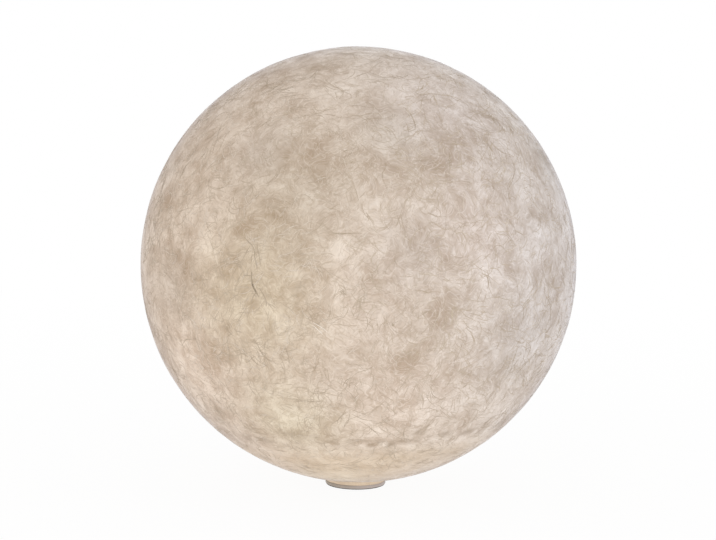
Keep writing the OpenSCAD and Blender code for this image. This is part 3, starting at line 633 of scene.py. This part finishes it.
def combed_strands(name, seed, count, strand, steps, curl, spread, width, lowest=-1.0):
    """Fibres in strands, side by side, that curl together and start above the lowest share of the radius."""
    dice = np.random.default_rng(seed)
    groups = count // strand
    start = unit(dice.normal(size=(groups, 3)))
    start[:, 2] = np.where(start[:, 2] < lowest, -start[:, 2], start[:, 2])
    side = unit(np.cross(start, dice.normal(size=(groups, 3))))
    start, side = np.repeat(start, strand, axis=0), np.repeat(side, strand, axis=0)
    ahead = np.cross(side, start)
    total = groups * strand
    beside = dice.normal(size=(total, 1)) * spread / globe_radius
    before = dice.normal(size=(total, 1)) * 0.010 / globe_radius
    start = unit(start + side * beside + ahead * before)
    ahead = unit(ahead - start * (ahead * start).sum(1, keepdims=True))
    fan = dice.normal(size=(total, 1)) * 0.1
    ahead = ahead * np.cos(fan) + np.cross(start, ahead) * np.sin(fan)
    bend = dice.normal(size=groups) * curl
    bends = []
    for _ in range(steps):
        bend = bend * 0.84 + dice.normal(size=groups) * curl * 0.55
        bends.append(np.repeat(bend, strand) + dice.normal(size=total) * curl * 0.35)
    lengths = dice.integers(steps // 3, steps + 1, total)
    widths = width * dice.uniform(0.7, 1.3, total)
    lift = dice.uniform(0.00005, 0.00018, total)
    return flat_fibres(name, *laid_paths(start, ahead, bends), widths, lengths, lift)


# About 0.5 mm wide, coarser than the real ones, so that they show
brown_fibres = combed_strands("brown_fibres", 21, 13000, 5, 8, 0.26, 0.0042, 0.00046)
ivory_fibres = combed_strands("ivory_fibres", 22, 6000, 5, 7, 0.26, 0.0042, 0.00046)
dark_fibres = combed_strands("dark_fibres", 23, 1300, 3, 13, 0.14, 0.0034, 0.00048, -0.6)


thread_lift = 0.00019


def threads(name, tracks, width):
    """Threads on the front, through points so many millimetres right of and above the globe's middle."""
    rows, lengths = [], []
    for track in tracks:
        line = np.array(track, float) / 1000
        for _ in range(3):
            cut = [[0.75 * a + 0.25 * b, 0.25 * a + 0.75 * b] for a, b in zip(line, line[1:])]
            line = np.concatenate([line[:1], *cut, line[-1:]])
        rows.append(line)
        lengths.append(len(line))
    most = max(lengths)
    rows = np.stack([np.concatenate([r, np.repeat(r[-1:], most - len(r), axis=0)]) for r in rows])
    depth = -np.sqrt(globe_radius**2 - (rows**2).sum(-1))
    points = unit(np.stack([rows[..., 0], depth, rows[..., 1]], -1))
    ahead = np.gradient(points, axis=1)
    across = np.cross(points, ahead)
    across /= np.maximum(np.linalg.norm(across, axis=-1, keepdims=True), 1e-9)
    widths, lifts = np.full(len(tracks), width), np.full(len(tracks), thread_lift)
    return flat_fibres(name, points, across, widths, np.array(lengths), lifts)


knot = (-107, -1)
knotted = [
    [(-113, 24), (-112, 15), (-112, 10), (-110, 4), knot, (-104, -6)],
    [knot, (-111, -7), (-112, -13)],
    [(-104, 4), (-99, -3), (-96, -9), (-96, -15)],
    [(-121, 16), (-112, 16)],
]
knotted_threads = threads("knotted_threads", knotted, 0.00080)
faint = [(-121, 56), (-116, 51), (-111, 47), (-109, 41), (-109, 35), (-107, 29), (-106, 22)]
faint_thread = threads("faint_thread", [faint], 0.0010)
thickening = [(-112, 20), (-112, 10), (-110, 4), knot, (-106, -3)]
speck = [(36, -30), (37, -31)]
knot_lump = threads("knot_lump", [thickening, speck], 0.0020)
bleached = [[(-47, -29), (-39, -33), (-30, -40)], [(-47, -32), (-41, -37), (-36, -42)]]
pale_threads = threads("pale_threads", bleached, 0.00065)

# Plant fibre set in resin: a little darker and paler along its length, matt
for pieces, name, low_code, high_code in (
    ((brown_fibres,), "brown_plant_fibre", "#B8A690", "#C8B8A3"),
    ((ivory_fibres,), "ivory_plant_fibre", "#D4C6B6", "#DDD0C1"),
    ((dark_fibres, faint_thread), "dark_plant_fibre", "#AF9E88", "#BFAE99"),
    ((knotted_threads, knot_lump), "knotted_plant_thread", "#A79680", "#B5A48F"),
    ((pale_threads,), "bleached_plant_fibre", "#E9DDD0", "#F3EADF"),
):
    fibre, tree, surface, place = begin_material(name, {"Roughness": 0.6, "Specular IOR Level": 0.3})
    along = add(tree, "ShaderNodeTexNoise", {"Vector": place, "Scale": 1 / 18, "Detail": 1.0})
    shade = {"Value": along.outputs["Fac"], "From Min": 0.35, "From Max": 0.65}
    shade = add(tree, "ShaderNodeMapRange", shade)
    colour = add(tree, "ShaderNodeMix", {0: shade.outputs[0], 6: low_code, 7: high_code}, data_type="RGBA")
    tree.links.new(colour.outputs[2], surface.inputs["Base Color"])
    for piece in pieces:
        piece.data.materials.append(fibre)
        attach(piece, "globe")


# ---- Seam strip and neck ----
# A strip of laminate is bonded behind the seam, and a moulded neck with a flange
# is bonded into the bottom hole. Both are cast resin with short chopped fibre.


def dress(node, material):
    """Gives a piece from the CAD its finish, in place of the plain one it came with."""
    slots = nodes[node].material_slots
    for slot in slots:
        slot.material = material
    if not slots:
        nodes[node].data.materials.append(material)


def grained(tree, surface, pattern, smoothest, roughest, strength=0.0, depth=0.0):
    """Gives a surface a roughness that follows a pattern and, where it has a depth in metres, a height."""
    rough = add(tree, "ShaderNodeMapRange", {"Value": pattern, "To Min": smoothest, "To Max": roughest})
    tree.links.new(rough.outputs[0], surface.inputs["Roughness"])
    if depth:
        bump = add(tree, "ShaderNodeBump", {"Height": pattern, "Strength": strength, "Distance": depth})
        tree.links.new(bump.outputs[0], surface.inputs["Normal"])


# Cloudy with chopped fibre, and faintly ringed where it was turned
cast_resin = {"Specular IOR Level": 0.35}
neck_resin, tree, surface, place = begin_material("cast_resin_with_chopped_fibre", cast_resin)
chopped = add(tree, "ShaderNodeTexNoise", {"Vector": place, "Scale": 1 / 3, "Detail": 3.0, "Distortion": 1.0})
ringed = add(tree, "ShaderNodeVectorMath", {0: place, 1: (1 / 26, 1 / 26, 1 / 1.6)}, operation="MULTIPLY")
ringed = add(tree, "ShaderNodeTexNoise", {"Vector": ringed.outputs[0], "Scale": 1.0, "Detail": 2.0})
haze = add(tree, "ShaderNodeMath", {0: chopped.outputs["Fac"], 1: ringed.outputs["Fac"]}, operation="ADD")
haze = add(tree, "ShaderNodeMapRange", {"Value": haze.outputs[0], "From Min": 0.75, "From Max": 1.25})
colour = add(tree, "ShaderNodeMix", {0: haze.outputs[0], 6: "#DAC7AF", 7: "#E9D8C1"}, data_type="RGBA")
tree.links.new(colour.outputs[2], surface.inputs["Base Color"])
grained(tree, surface, chopped.outputs["Fac"], 0.4, 0.6, 0.4, 0.0002)
dress("neck_collar", neck_resin)
dress("seam_strip", neck_resin)


# ---- Base ring, foot pad and cord outlet ----
# A turned steel housing with a ring at its foot, powder coated grey-beige. A
# dark foam pad is glued under the ring, and a rubber grommet lines the outlet.

powder_coat, tree, surface, place = begin_material("powder_coated_steel", {})
# Powder flows out to an orange peel of about 1.5 mm, with specks of 0.3 mm
peel = add(tree, "ShaderNodeTexNoise", {"Vector": place, "Scale": 1 / 1.5, "Detail": 2.0})
specks = add(tree, "ShaderNodeTexNoise", {"Vector": place, "Scale": 1 / 0.3, "Detail": 1.0})
patches = add(tree, "ShaderNodeTexNoise", {"Vector": place, "Scale": 1 / 14, "Detail": 2.0})
tone = add(tree, "ShaderNodeMath", {0: patches.outputs["Fac"], 1: specks.outputs["Fac"]}, operation="ADD")
tone = add(tree, "ShaderNodeMapRange", {"Value": tone.outputs[0], "From Min": 0.75, "From Max": 1.25})
ends = {0: tone.outputs[0], 6: "#A1978C", 7: "#B3A99E"}
colour = add(tree, "ShaderNodeMix", ends, data_type="RGBA").outputs[2]
# Painted light: lighter and pinker towards the right, as if lit and reflecting there
sides = add(tree, "ShaderNodeSeparateXYZ", {0: place})
aside, rise = sides.outputs["X"], sides.outputs["Z"]
painted_right_light = {"Value": aside, "From Min": -25.0, "From Max": 40.0, "To Max": 0.65}
painted_right_light = add(tree, "ShaderNodeMapRange", painted_right_light).outputs[0]
colour = add(tree, "ShaderNodeMix", {0: painted_right_light, 6: colour, 7: "#C8BCBE"}, data_type="RGBA").outputs[2]
# Darker in patches along the ring's lower edge
lower_edge_darkening = add(
    tree,
    "ShaderNodeMapRange",
    {"Value": rise, "From Min": 0.8, "From Max": 1.5, "To Min": 0.35, "To Max": 0.0},
).outputs[0]
lower_edge_darkening = add(tree, "ShaderNodeMath", {0: lower_edge_darkening, 1: patches.outputs["Fac"]}, operation="MULTIPLY").outputs[0]
colour = add(tree, "ShaderNodeMix", {0: lower_edge_darkening, 6: colour, 7: "#8C8378"}, data_type="RGBA").outputs[2]
# Painted shadow along the ring's top edge, under the neck, deepest on the left
painted_neck_shadow = {"Value": rise, "From Min": 3.2, "From Max": 4.6, "To Max": 0.45}
painted_neck_shadow = add(tree, "ShaderNodeMapRange", painted_neck_shadow).outputs[0]
on_ring = add(tree, "ShaderNodeMath", {0: rise, 1: 5.0}, operation="LESS_THAN").outputs[0]
painted_neck_shadow = add(tree, "ShaderNodeMath", {0: painted_neck_shadow, 1: on_ring}, operation="MULTIPLY").outputs[0]
shadow_on_left = {"Value": aside, "From Min": -6.0, "From Max": 4.0, "To Min": 1.0, "To Max": 0.3}
shadow_on_left = add(tree, "ShaderNodeMapRange", shadow_on_left).outputs[0]
painted_neck_shadow = add(tree, "ShaderNodeMath", {0: painted_neck_shadow, 1: shadow_on_left}, operation="MULTIPLY").outputs[0]
colour = add(tree, "ShaderNodeMix", {0: painted_neck_shadow, 6: colour, 7: "#7A6B58"}, data_type="RGBA")
tree.links.new(colour.outputs[2], surface.inputs["Base Color"])
rough = add(tree, "ShaderNodeMapRange", {"Value": specks.outputs["Fac"], "To Min": 0.48, "To Max": 0.62})
tree.links.new(rough.outputs[0], surface.inputs["Roughness"])
bump = add(tree, "ShaderNodeBump", {"Height": peel.outputs["Fac"], "Strength": 0.35, "Distance": 0.00012})
tree.links.new(bump.outputs[0], surface.inputs["Normal"])
dress("base_housing", powder_coat)

foam, tree, surface, place = begin_material("closed_cell_foam", {"Roughness": 0.9, "Specular IOR Level": 0.2})
# Closed cells about 0.4 mm across
cells = add(tree, "ShaderNodeTexVoronoi", {"Vector": place, "Scale": 1 / 0.4})
ends = {0: cells.outputs["Distance"], 6: "#3E3B38", 7: "#57534E"}
colour = add(tree, "ShaderNodeMix", ends, data_type="RGBA")
tree.links.new(colour.outputs[2], surface.inputs["Base Color"])
bump = add(tree, "ShaderNodeBump", {"Height": cells.outputs["Distance"], "Strength": 0.5, "Distance": 0.0001})
tree.links.new(bump.outputs[0], surface.inputs["Normal"])
dress("foot_pad", foam)

# Black, with a grey bloom where it has aged
rubber, tree, surface, place = begin_material("moulded_black_rubber", {})
bloom = add(tree, "ShaderNodeTexNoise", {"Vector": place, "Scale": 1 / 2.5, "Detail": 3.0})
colour = add(tree, "ShaderNodeMix", {0: bloom.outputs["Fac"], 6: "#2F2D2B", 7: "#464340"}, data_type="RGBA")
tree.links.new(colour.outputs[2], surface.inputs["Base Color"])
grained(tree, surface, bloom.outputs["Fac"], 0.55, 0.8, 0.3, 0.0001)
dress("cord_grommet", rubber)


# ---- Cast weight ----
# A sand-cast iron block fills the housing and keeps the big globe standing. It
# is left as cast under a thin black lacquer, and its three bosses take screws.

cast_iron, tree, surface, place = begin_material("lacquered_cast_iron", {"Metallic": 0.5})
# Sand grains leave pits of about 0.6 mm
grains = {"Vector": place, "Scale": 1 / 0.6, "Detail": 3.0, "Roughness": 0.65}
grains = add(tree, "ShaderNodeTexNoise", grains)
scale_marks = add(tree, "ShaderNodeTexNoise", {"Vector": place, "Scale": 1 / 9, "Detail": 3.0})
ends = {0: grains.outputs["Fac"], 6: "#3A3A3C", 7: "#5C5D60"}
colour = add(tree, "ShaderNodeMix", ends, data_type="RGBA").outputs[2]
worn = {"Value": scale_marks.outputs["Fac"], "From Min": 0.52, "From Max": 0.7, "To Max": 0.5}
worn = add(tree, "ShaderNodeMapRange", worn).outputs[0]
colour = add(tree, "ShaderNodeMix", {0: worn, 6: colour, 7: "#6B625A"}, data_type="RGBA")
tree.links.new(colour.outputs[2], surface.inputs["Base Color"])
grained(tree, surface, grains.outputs["Fac"], 0.5, 0.85, 0.7, 0.0003)
dress("ballast_weight", cast_iron)


# ---- Bottom cover, screws, stem, washers and nuts ----
# A pressed sheet cover closes the base, held by three countersunk screws. A
# hollow threaded stem with two nuts and washers clamps weight, housing and
# lampholder together. All are steel with a bright, slightly yellow zinc plate.

for name, fine, parts in (
    ("zinc_plated_sheet_steel", 1.2, ("bottom_cover", "lower_washer", "upper_washer")),
    (
        "zinc_plated_turned_steel",
        0.5,
        ("cover_screws", "stem_tube", "lower_nut", "upper_nut", "holder_grub_screw"),
    ),
):
    # Zinc crystals show as a faint spangle, with scuffs a quarter of their size
    zinc, tree, surface, place = begin_material(name, {"Metallic": 1.0})
    spangle = add(tree, "ShaderNodeTexVoronoi", {"Vector": place, "Scale": 1 / (4 * fine)})
    scuffs = add(tree, "ShaderNodeTexNoise", {"Vector": place, "Scale": 1 / fine, "Detail": 3.0})
    stain = add(tree, "ShaderNodeTexNoise", {"Vector": place, "Scale": 1 / 7, "Detail": 2.0})
    ends = {0: spangle.outputs["Color"], 6: "#B2B6BA", 7: "#C6C8C8"}
    colour = add(tree, "ShaderNodeMix", ends, data_type="RGBA").outputs[2]
    yellow = {"Value": stain.outputs["Fac"], "From Min": 0.5, "From Max": 0.75, "To Max": 0.5}
    yellow = add(tree, "ShaderNodeMapRange", yellow).outputs[0]
    colour = add(tree, "ShaderNodeMix", {0: yellow, 6: colour, 7: "#C9C3A6"}, data_type="RGBA")
    tree.links.new(colour.outputs[2], surface.inputs["Base Color"])
    grained(tree, surface, scuffs.outputs["Fac"], 0.25, 0.5, 0.25, 0.00008)
    for part in parts:
        dress(part, zinc)


# ---- Lampholder ----
# A white moulded cap and body screw together round a porcelain block, which
# carries two pressed brass contacts and their terminal screws. The thin brass
# screw shell stands on the block and takes the bulb.

for name, low_code, high_code, parts in (
    ("moulded_white_plastic", "#E2E0DA", "#EDEBE6", ("holder_cap", "holder_body")),
    ("moulded_bulb_plastic", "#E9E7E2", "#F3F1ED", ("bulb_housing",)),
):
    # The mould was spark eroded to a matt grain of about 0.25 mm
    plastic, tree, surface, place = begin_material(name, {})
    grain = add(tree, "ShaderNodeTexNoise", {"Vector": place, "Scale": 1 / 0.25, "Detail": 1.0})
    flow = {"Vector": place, "Scale": 1 / 20, "Detail": 2.0, "Distortion": 0.5}
    flow = add(tree, "ShaderNodeTexNoise", flow)
    colour = add(tree, "ShaderNodeMix", {0: flow.outputs["Fac"], 6: low_code, 7: high_code}, data_type="RGBA")
    tree.links.new(colour.outputs[2], surface.inputs["Base Color"])
    grained(tree, surface, grain.outputs["Fac"], 0.35, 0.5, 0.25, 0.00005)
    for part in parts:
        dress(part, plastic)

porcelain, tree, surface, place = begin_material("unglazed_porcelain", {"Roughness": 0.72})
# Pressed steatite: matt, off-white, with a few iron specks of about 0.5 mm
body = add(tree, "ShaderNodeTexNoise", {"Vector": place, "Scale": 1 / 6, "Detail": 4.0})
specks = add(tree, "ShaderNodeTexNoise", {"Vector": place, "Scale": 1 / 0.5, "Detail": 1.0})
specks = {"Value": specks.outputs["Fac"], "From Min": 0.7, "From Max": 0.76, "To Max": 0.6}
specks = add(tree, "ShaderNodeMapRange", specks).outputs[0]
ends = {0: body.outputs["Fac"], 6: "#EBE7DD", 7: "#F6F3EC"}
colour = add(tree, "ShaderNodeMix", ends, data_type="RGBA").outputs[2]
colour = add(tree, "ShaderNodeMix", {0: specks, 6: colour, 7: "#9C8A70"}, data_type="RGBA")
tree.links.new(colour.outputs[2], surface.inputs["Base Color"])
bump = add(tree, "ShaderNodeBump", {"Height": body.outputs["Fac"], "Strength": 0.3, "Distance": 0.0002})
tree.links.new(bump.outputs[0], surface.inputs["Normal"])
dress("contact_block", porcelain)

brass, tree, surface, place = begin_material("pressed_brass", {"Metallic": 1.0})
# Rolled brass strip: fine scratches, browner where it was handled
scratches = add(tree, "ShaderNodeVectorMath", {0: place, 1: (1 / 0.3, 1 / 0.3, 1 / 3)}, operation="MULTIPLY")
scratches = add(tree, "ShaderNodeTexNoise", {"Vector": scratches.outputs[0], "Scale": 1.0, "Detail": 2.0})
tarnish = add(tree, "ShaderNodeTexNoise", {"Vector": place, "Scale": 1 / 6, "Detail": 3.0})
tarnish = {"Value": tarnish.outputs["Fac"], "From Min": 0.45, "From Max": 0.75, "To Max": 0.7}
tarnish = add(tree, "ShaderNodeMapRange", tarnish).outputs[0]
colour = add(tree, "ShaderNodeMix", {0: tarnish, 6: "#D2B06A", 7: "#A98A4E"}, data_type="RGBA")
tree.links.new(colour.outputs[2], surface.inputs["Base Color"])
grained(tree, surface, scratches.outputs["Fac"], 0.2, 0.42, 0.2, 0.00004)
for part in ("terminal_screws", "centre_contact", "side_contact", "screw_shell"):
    dress(part, brass)


# ---- Bulb ----
# A screw-in bulb: a rolled nickel-plated cap with a soldered tip in a black
# insulator, a white moulded housing round the driver board, an aluminium board
# of ten diodes, and a blow-moulded opal dome clipped over it.

# Bright, with fine lines round it from the rolling, and duller patches
nickel, tree, surface, place = begin_material("nickel_plated_cap", {"Metallic": 1.0})
rolled = add(tree, "ShaderNodeVectorMath", {0: place, 1: (1 / 5, 1 / 5, 1 / 0.3)}, operation="MULTIPLY")
rolled = add(tree, "ShaderNodeTexNoise", {"Vector": rolled.outputs[0], "Scale": 1.0, "Detail": 2.0})
dull = add(tree, "ShaderNodeTexNoise", {"Vector": place, "Scale": 1 / 5, "Detail": 3.0})
colour = add(tree, "ShaderNodeMix", {0: dull.outputs["Fac"], 6: "#B9B6AF", 7: "#D2D0CA"}, data_type="RGBA")
tree.links.new(colour.outputs[2], surface.inputs["Base Color"])
grained(tree, surface, rolled.outputs["Fac"], 0.18, 0.4, 0.2, 0.00005)
dress("bulb_cap", nickel)
dress("bulb_tip", nickel)

# Pressed glass, glossy, with swirls of grey in the black
black_glass, tree, surface, place = begin_material("black_glass_insulator", {})
swirls = add(tree, "ShaderNodeTexNoise", {"Vector": place, "Scale": 1 / 3, "Detail": 2.0, "Distortion": 1.0})
colour = add(tree, "ShaderNodeMix", {0: swirls.outputs["Fac"], 6: "#1E1D20", 7: "#35333A"}, data_type="RGBA")
tree.links.new(colour.outputs[2], surface.inputs["Base Color"])
grained(tree, surface, swirls.outputs["Fac"], 0.08, 0.2)
dress("cap_insulator", black_glass)

opal, tree, surface, place = begin_material("opal_polycarbonate", {})
# Frosted by the blow mould, a little thinner and whiter towards the top
dome_foot, dome_top = 163.0, 209.0
frost = add(tree, "ShaderNodeTexNoise", {"Vector": place, "Scale": 1 / 0.4, "Detail": 1.0})
rise = add(tree, "ShaderNodeSeparateXYZ", {0: place}).outputs["Z"]
rise = add(tree, "ShaderNodeMapRange", {"Value": rise, "From Min": dome_foot, "From Max": dome_top})
colour = add(tree, "ShaderNodeMix", {0: rise.outputs[0], 6: "#F0ECE3", 7: "#F7F5F0"}, data_type="RGBA")
tree.links.new(colour.outputs[2], surface.inputs["Base Color"])
grained(tree, surface, frost.outputs["Fac"], 0.38, 0.5, 0.15, 0.00004)
dress("bulb_dome", opal)

diode_board, tree, surface, place = begin_material("white_masked_aluminium_board", {})
# White solder mask with a ring of copper track under it, and yellow phosphor on
# the diodes, which stand up from the board
track_radius, half_track = 19.0, 0.6
diodes_above = 163.6
spot = add(tree, "ShaderNodeSeparateXYZ", {0: place})
track = add(tree, "ShaderNodeMath", {0: from_axis(tree, place), 1: track_radius}, operation="SUBTRACT")
track = add(tree, "ShaderNodeMath", {0: track.outputs[0]}, operation="ABSOLUTE")
track = add(tree, "ShaderNodeMath", {0: track.outputs[0], 1: half_track}, operation="LESS_THAN")
track = add(tree, "ShaderNodeMath", {0: track.outputs[0], 1: 0.35}, operation="MULTIPLY")
mask = add(tree, "ShaderNodeTexNoise", {"Vector": place, "Scale": 1 / 4, "Detail": 2.0})
ends = {0: mask.outputs["Fac"], 6: "#EAEAE7", 7: "#F4F4F2"}
colour = add(tree, "ShaderNodeMix", ends, data_type="RGBA").outputs[2]
ends = {0: track.outputs[0], 6: colour, 7: "#D9CFC0"}
colour = add(tree, "ShaderNodeMix", ends, data_type="RGBA").outputs[2]
phosphor = add(tree, "ShaderNodeMath", {0: spot.outputs["Z"], 1: diodes_above}, operation="GREATER_THAN")
colour = add(tree, "ShaderNodeMix", {0: phosphor.outputs[0], 6: colour, 7: "#EFD35E"}, data_type="RGBA")
tree.links.new(colour.outputs[2], surface.inputs["Base Color"])
grained(tree, surface, mask.outputs["Fac"], 0.35, 0.5)
dress("led_board", diode_board)

driver, tree, surface, place = begin_material("green_masked_driver_board", {})
# Green solder mask over woven glass of 0.5 mm pitch. Its parts stand off both
# faces: a black-sleeved capacitor, a taped coil and a black chip.
board_face = 0.82
coil_foot, sleeve_end = 130.0, 145.3
spot = add(tree, "ShaderNodeSeparateXYZ", {0: place})
weave = add(tree, "ShaderNodeTexChecker", {"Vector": place, "Scale": 1 / 0.5})
ends = {0: weave.outputs["Fac"], 6: "#28633F", 7: "#2F7049"}
colour = add(tree, "ShaderNodeMix", ends, data_type="RGBA").outputs[2]
front = add(tree, "ShaderNodeMath", {0: spot.outputs["Y"], 1: board_face}, operation="GREATER_THAN")
front = front.outputs[0]
colour = add(tree, "ShaderNodeMix", {0: front, 6: colour, 7: "#24262B"}, data_type="RGBA").outputs[2]
behind = add(tree, "ShaderNodeMath", {0: spot.outputs["Y"], 1: -board_face}, operation="LESS_THAN")
behind = behind.outputs[0]
colour = add(tree, "ShaderNodeMix", {0: behind, 6: colour, 7: "#1E1F21"}, data_type="RGBA").outputs[2]
upper = add(tree, "ShaderNodeMath", {0: spot.outputs["Z"], 1: coil_foot}, operation="GREATER_THAN")
coil = add(tree, "ShaderNodeMath", {0: behind, 1: upper.outputs[0]}, operation="MULTIPLY").outputs[0]
colour = add(tree, "ShaderNodeMix", {0: coil, 6: colour, 7: "#D8B83C"}, data_type="RGBA").outputs[2]
bare = add(tree, "ShaderNodeMath", {0: spot.outputs["Z"], 1: sleeve_end}, operation="GREATER_THAN")
bare = add(tree, "ShaderNodeMath", {0: front, 1: bare.outputs[0]}, operation="MULTIPLY").outputs[0]
colour = add(tree, "ShaderNodeMix", {0: bare, 6: colour, 7: "#B9BCBE"}, data_type="RGBA")
tree.links.new(colour.outputs[2], surface.inputs["Base Color"])
mask = add(tree, "ShaderNodeTexNoise", {"Vector": place, "Scale": 1 / 3, "Detail": 2.0})
grained(tree, surface, mask.outputs["Fac"], 0.25, 0.45)
dress("driver_board", driver)
